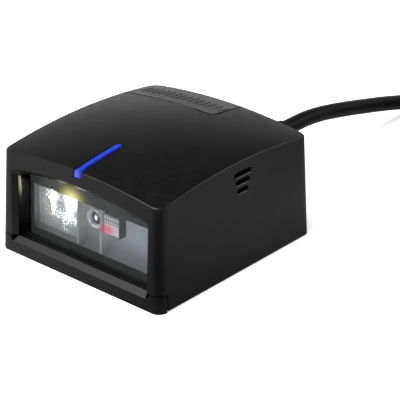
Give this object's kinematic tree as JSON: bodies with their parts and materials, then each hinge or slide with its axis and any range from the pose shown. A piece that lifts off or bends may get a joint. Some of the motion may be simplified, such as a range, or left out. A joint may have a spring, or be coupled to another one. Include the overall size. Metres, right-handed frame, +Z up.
{
  "type": "fixed-mount area-imaging barcode scanner",
  "caption": "Small box-shaped fixed barcode imager with an arched front window, a lit status strip, side vents and a plug-in USB cable leaving the back.",
  "frame": {"origin": "centre of the base cover's underside, on the surface that the scanner stands on", "axes": "+Z up, the scan window faces -Y and the cable leaves towards +Y, the vents are in the +X wall"},
  "size_m": [0.0897, 0.1517, 0.0266],
  "materials": {
    "housing_plastic": "fine satin texture",
    "gloss_black": "polished",
    "window_clear": "polished",
    "blue_light": "lit from within",
    "white_light": "lit",
    "red_light": "lit",
    "engine_grey": "moulded",
    "soft_rubber": "matt",
    "cable_jacket": "extruded jacket",
    "clear_plastic": "moulded clear plastic",
    "board_green": "solder mask",
    "chip_black": "moulded package",
    "screw_steel": "plated",
    "insert_brass": "turned",
    "flex_amber": "film",
    "pale_plastic": "moulded",
    "sensor_silicon": "polished"
  },
  "bodies": {
    "scanner": {"top_shell": "housing_plastic", "base_cover": "housing_plastic", "badge_plate": "housing_plastic", "window_bezel": "gloss_black", "window_pane": "window_clear", "window_gasket": "soft_rubber", "status_light_pipe": "blue_light", "vent_mesh": "soft_rubber", "base_label": "pale_plastic", "mount_insert_left": "insert_brass", "mount_insert_right": "insert_brass", "base_screw_1": "screw_steel", "base_screw_2": "screw_steel", "base_screw_3": "screw_steel", "base_screw_4": "screw_steel", "board_screw_1": "screw_steel", "board_screw_2": "screw_steel", "engine_screw_1": "screw_steel", "engine_screw_2": "screw_steel", "light_shroud": "engine_grey", "engine_chassis": "engine_grey", "sensor_board": "board_green", "image_sensor": "sensor_silicon", "camera_barrel": "gloss_black", "camera_lens": "clear_plastic", "illumination_lens": "clear_plastic", "illumination_led_1": "white_light", "illumination_led_2": "white_light", "aimer_housing": "engine_grey", "aimer_led": "red_light", "aimer_lens": "clear_plastic", "status_led": "blue_light", "engine_flex": "flex_amber", "main_board": "board_green", "flex_connector": "pale_plastic", "decoder_chip": "chip_black", "memory_chip": "chip_black", "board_crystal": "screw_steel", "buzzer": "chip_black", "modular_socket": "chip_black", "modular_plug": "clear_plastic", "strain_relief": "soft_rubber", "cable_run": "cable_jacket", "cable_coil": "cable_jacket", "cable_tail": "cable_jacket", "coil_tie": "soft_rubber", "usb_overmould": "soft_rubber", "usb_shell": "screw_steel", "usb_tongue": "pale_plastic"},
    "latch": {"plug_latch": "clear_plastic"}
  },
  "joints": [
    {"name": "latch_press", "type": "hinge", "parent": "scanner", "child": "latch", "pos_m": [0, 0.0116, 0.00785], "axis": [1, 0, 0], "range_deg": [0, 6], "stiffness_Nm_per_rad": 0.002}
  ]
}
